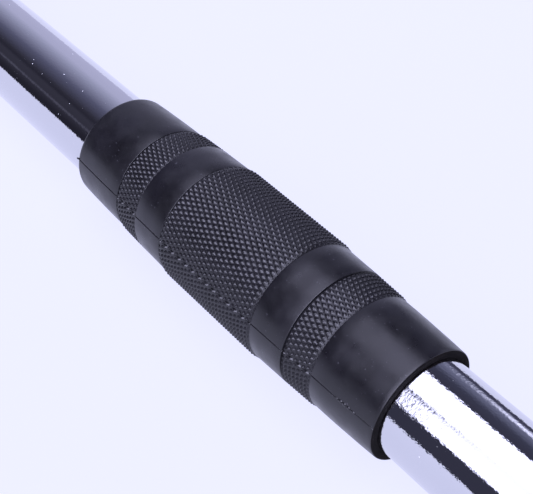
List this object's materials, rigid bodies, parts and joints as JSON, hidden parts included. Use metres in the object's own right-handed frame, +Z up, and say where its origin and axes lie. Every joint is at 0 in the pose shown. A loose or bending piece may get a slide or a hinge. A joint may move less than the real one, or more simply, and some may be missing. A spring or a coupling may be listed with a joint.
{
  "type": "golf ball retriever",
  "caption": "Telescopic chrome pole with rubber grips and a ring head whose spring catches hold a golf ball picked up from water or a hole.",
  "frame": {"origin": "on the ground under the middle of the closed retriever's length", "axes": "+X along the pole from the butt to the head, +Z up, +Y to the left"},
  "size_m": [0.56, 0.0734, 0.0564],
  "materials": {
    "grip_rubber": "matt moulded rubber with knurled bands",
    "tube_chrome": "polished chrome plate",
    "ferrule_chrome": "polished chrome plate",
    "bush_nylon": "satin",
    "stop_nylon": "satin",
    "shoe_brass": "rolled sheet",
    "plug_aluminium": "turned",
    "stainless_steel": "drawn wire and turned pins",
    "spring_steel": "bright spring wire",
    "head_plastic": "fine moulded texture",
    "catch_plastic": "satin"
  },
  "bodies": {
    "handle": {"butt_cap": "grip_rubber", "butt_grip": "grip_rubber", "handle_tube": "tube_chrome", "mid_grip": "grip_rubber", "handle_bush": "bush_nylon", "handle_ferrule": "ferrule_chrome"},
    "second_shoe": {"second_shoe": "shoe_brass"},
    "second_stage": {"second_tube": "tube_chrome", "second_stop": "stop_nylon", "second_bush": "bush_nylon", "second_ferrule": "ferrule_chrome"},
    "third_shoe": {"third_shoe": "shoe_brass"},
    "third_stage": {"third_tube": "tube_chrome", "third_stop": "stop_nylon", "third_bush": "bush_nylon", "third_ferrule": "ferrule_chrome"},
    "fourth_shoe": {"fourth_shoe": "shoe_brass"},
    "head": {"fourth_tube": "tube_chrome", "fourth_stop": "stop_nylon", "neck_plug": "plug_aluminium", "neck_rivet": "stainless_steel", "head_ring": "head_plastic", "lower_hoop": "stainless_steel", "upper_hoop": "stainless_steel", "left_pin": "stainless_steel", "right_pin": "stainless_steel", "left_spring": "spring_steel", "right_spring": "spring_steel"},
    "left_catch": {"left_catch": "catch_plastic"},
    "right_catch": {"right_catch": "catch_plastic"}
  },
  "joints": [
    {"name": "second_slide", "type": "slide", "parent": "handle", "child": "second_shoe", "axis": [1, 0, 0], "range_m": [0, 0.354]},
    {"name": "second_turn", "type": "hinge", "parent": "second_shoe", "child": "second_stage", "pos_m": [0, 0, 0.015], "axis": [1, 0, 0], "continuous": true},
    {"name": "third_slide", "type": "slide", "parent": "second_stage", "child": "third_shoe", "axis": [1, 0, 0], "range_m": [0, 0.365]},
    {"name": "third_turn", "type": "hinge", "parent": "third_shoe", "child": "third_stage", "pos_m": [0, 0, 0.015], "axis": [1, 0, 0], "continuous": true},
    {"name": "fourth_slide", "type": "slide", "parent": "third_stage", "child": "fourth_shoe", "axis": [1, 0, 0], "range_m": [0, 0.375]},
    {"name": "fourth_turn", "type": "hinge", "parent": "fourth_shoe", "child": "head", "pos_m": [0, 0, 0.015], "axis": [1, 0, 0], "continuous": true},
    {"name": "left_catch_hinge", "type": "hinge", "parent": "head", "child": "left_catch", "pos_m": [0.2512, 0.026, 0.013], "axis": [-1, 0, 0], "range_deg": [0, 75], "stiffness_Nm_per_rad": 0.012, "springref_deg": -20.05, "deforming": ["left_spring"]},
    {"name": "right_catch_hinge", "type": "hinge", "parent": "head", "child": "right_catch", "pos_m": [0.2512, -0.026, 0.013], "axis": [1, 0, 0], "range_deg": [0, 75], "stiffness_Nm_per_rad": 0.012, "springref_deg": -20.05, "deforming": ["right_spring"]}
  ]
}
